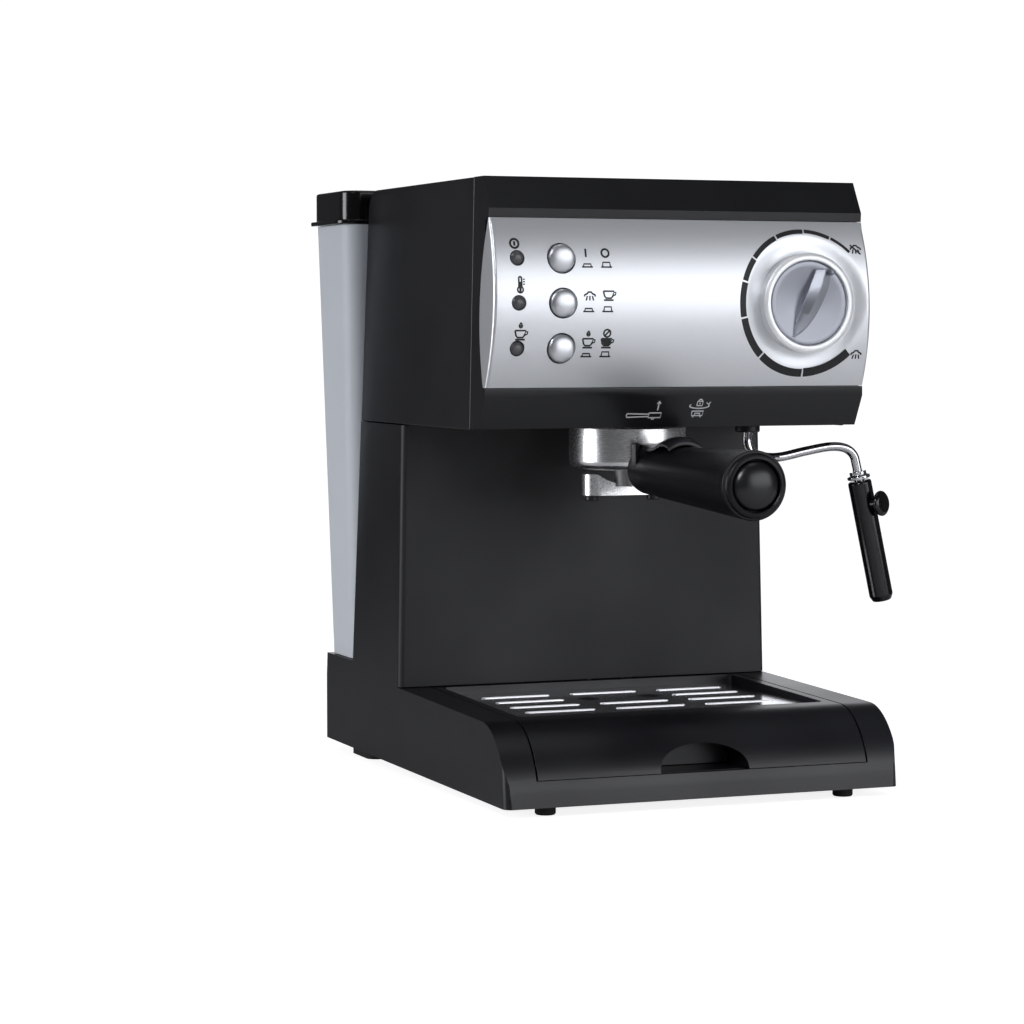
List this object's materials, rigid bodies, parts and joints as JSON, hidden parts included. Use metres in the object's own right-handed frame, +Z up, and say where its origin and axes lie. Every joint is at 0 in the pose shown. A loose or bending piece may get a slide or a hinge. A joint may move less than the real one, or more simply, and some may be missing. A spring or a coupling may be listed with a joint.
{
  "type": "espresso machine",
  "caption": "Pump espresso machine: overhanging head with control panel and steam knob, twist-lock filter holder, swivel steam wand, slide-out drip tray and lift-off rear water tank.",
  "frame": {"origin": "middle of the footprint's bounding box, on the surface the feet stand on", "axes": "+Z up, -Y towards the user at the front, +X to the right as the user faces the machine"},
  "size_m": [0.2546, 0.339, 0.3125],
  "materials": {
    "satin_black": "satin moulded ABS, very fine texture",
    "gloss_black": "polished black plastic",
    "silver": "satin silver paint on plastic",
    "chrome": "bright plating",
    "tray_steel": "polished stainless sheet",
    "brushed_aluminium": "turned and brushed casting",
    "cast_metal": "raw die casting",
    "plated_steel": "zinc-plated sheet",
    "brass": "machined brass",
    "rubber": "black rubber",
    "silicone": "translucent silicone hose",
    "light_plastic": "light grey plastic",
    "clear_tank": "frosted translucent plastic",
    "lamp_lens": "smoked lens",
    "board": "solder mask green laminate",
    "copper": "enamelled copper winding"
  },
  "bodies": {
    "root": {"lower_housing": "satin_black", "tray_guide": "satin_black", "base_plate": "plated_steel", "front_foot_left": "rubber", "front_foot_right": "rubber", "rear_foot_left": "rubber", "rear_foot_right": "rubber", "column_front_panel": "satin_black", "head_cover": "satin_black", "head_bottom_plate": "satin_black", "front_bezel": "satin_black", "silver_fascia": "silver", "power_lamp": "lamp_lens", "ready_lamp": "lamp_lens", "brew_lamp": "lamp_lens", "switch_bank": "satin_black", "control_board": "board", "steam_valve_body": "brass", "boiler_lower": "cast_metal", "boiler_gasket": "rubber", "boiler_upper": "cast_metal", "heating_element": "plated_steel", "brew_thermostat": "light_plastic", "steam_thermostat": "light_plastic", "group_ring": "cast_metal", "group_gasket": "rubber", "shower_screen": "chrome", "shower_screw": "chrome", "tank_valve_seat": "satin_black", "wand_collar": "satin_black", "pump_body": "light_plastic", "pump_coil": "copper", "pump_mount": "plated_steel", "water_hose": "silicone", "pressure_hose": "silicone", "steam_feed_pipe": "brass", "steam_pipe": "brass", "cord_gland": "rubber"},
    "steam_dial": {"steam_knob": "silver", "knob_ring": "light_plastic", "valve_stem": "brass"},
    "power_push": {"power_button": "silver"},
    "mode_push": {"mode_button": "silver"},
    "brew_push": {"brew_button": "silver"},
    "portafilter": {"portafilter_body": "brushed_aluminium", "filter_basket": "chrome", "twin_spout": "brushed_aluminium", "handle_grip": "satin_black", "handle_cap": "gloss_black"},
    "clip": {"basket_clip": "satin_black"},
    "tray": {"drip_tray": "satin_black"},
    "grille": {"cup_grille": "tray_steel"},
    "tank": {"water_tank": "clear_tank", "tank_valve": "light_plastic"},
    "lid": {"tank_lid": "satin_black"},
    "wand": {"wand_tube": "chrome", "wand_nut": "chrome"},
    "sleeve": {"froth_sleeve": "gloss_black"}
  },
  "joints": [
    {"name": "steam_dial_turn", "type": "hinge", "parent": "root", "child": "steam_dial", "pos_m": [0.05695, -0.0929, 0.25], "axis": [0, -1, 0], "range_deg": [0, 250]},
    {"name": "power_press", "type": "slide", "parent": "root", "child": "power_push", "axis": [0, 1, 0], "range_m": [0, 0.003], "stiffness_N_per_m": 300, "springref_m": -0.003},
    {"name": "mode_press", "type": "slide", "parent": "root", "child": "mode_push", "axis": [0, 1, 0], "range_m": [0, 0.003], "stiffness_N_per_m": 300, "springref_m": -0.003},
    {"name": "brew_press", "type": "slide", "parent": "root", "child": "brew_push", "axis": [0, 1, 0], "range_m": [0, 0.003], "stiffness_N_per_m": 300, "springref_m": -0.003},
    {"name": "portafilter_twist", "type": "hinge", "parent": "root", "child": "portafilter", "pos_m": [-0.00955, -0.0169, 0.18], "axis": [0, 0, -1], "range_deg": [0, 50]},
    {"name": "clip_lift", "type": "hinge", "parent": "portafilter", "child": "clip", "pos_m": [-0.00955, -0.0534, 0.177], "axis": [-1, 0, 0], "range_deg": [0, 6]},
    {"name": "tray_slide", "type": "slide", "parent": "root", "child": "tray", "axis": [0, -1, 0], "range_m": [0, 0.15]},
    {"name": "grille_lift", "type": "slide", "parent": "tray", "child": "grille", "axis": [0, 0, 1], "range_m": [0, 0.007]},
    {"name": "tank_lift", "type": "slide", "parent": "root", "child": "tank", "axis": [0, 0, 1], "range_m": [0, 0.25]},
    {"name": "lid_lift", "type": "slide", "parent": "tank", "child": "lid", "axis": [0, 0, 1], "range_m": [0, 0.04]},
    {"name": "wand_swivel", "type": "hinge", "parent": "root", "child": "wand", "pos_m": [0.04545, -0.0469, 0.185], "axis": [0, 0, 1], "range_deg": [-75, 20]},
    {"name": "sleeve_slide", "type": "slide", "parent": "wand", "child": "sleeve", "axis": [0.2161, 0, -0.9764], "range_m": [0, 0.04]}
  ]
}
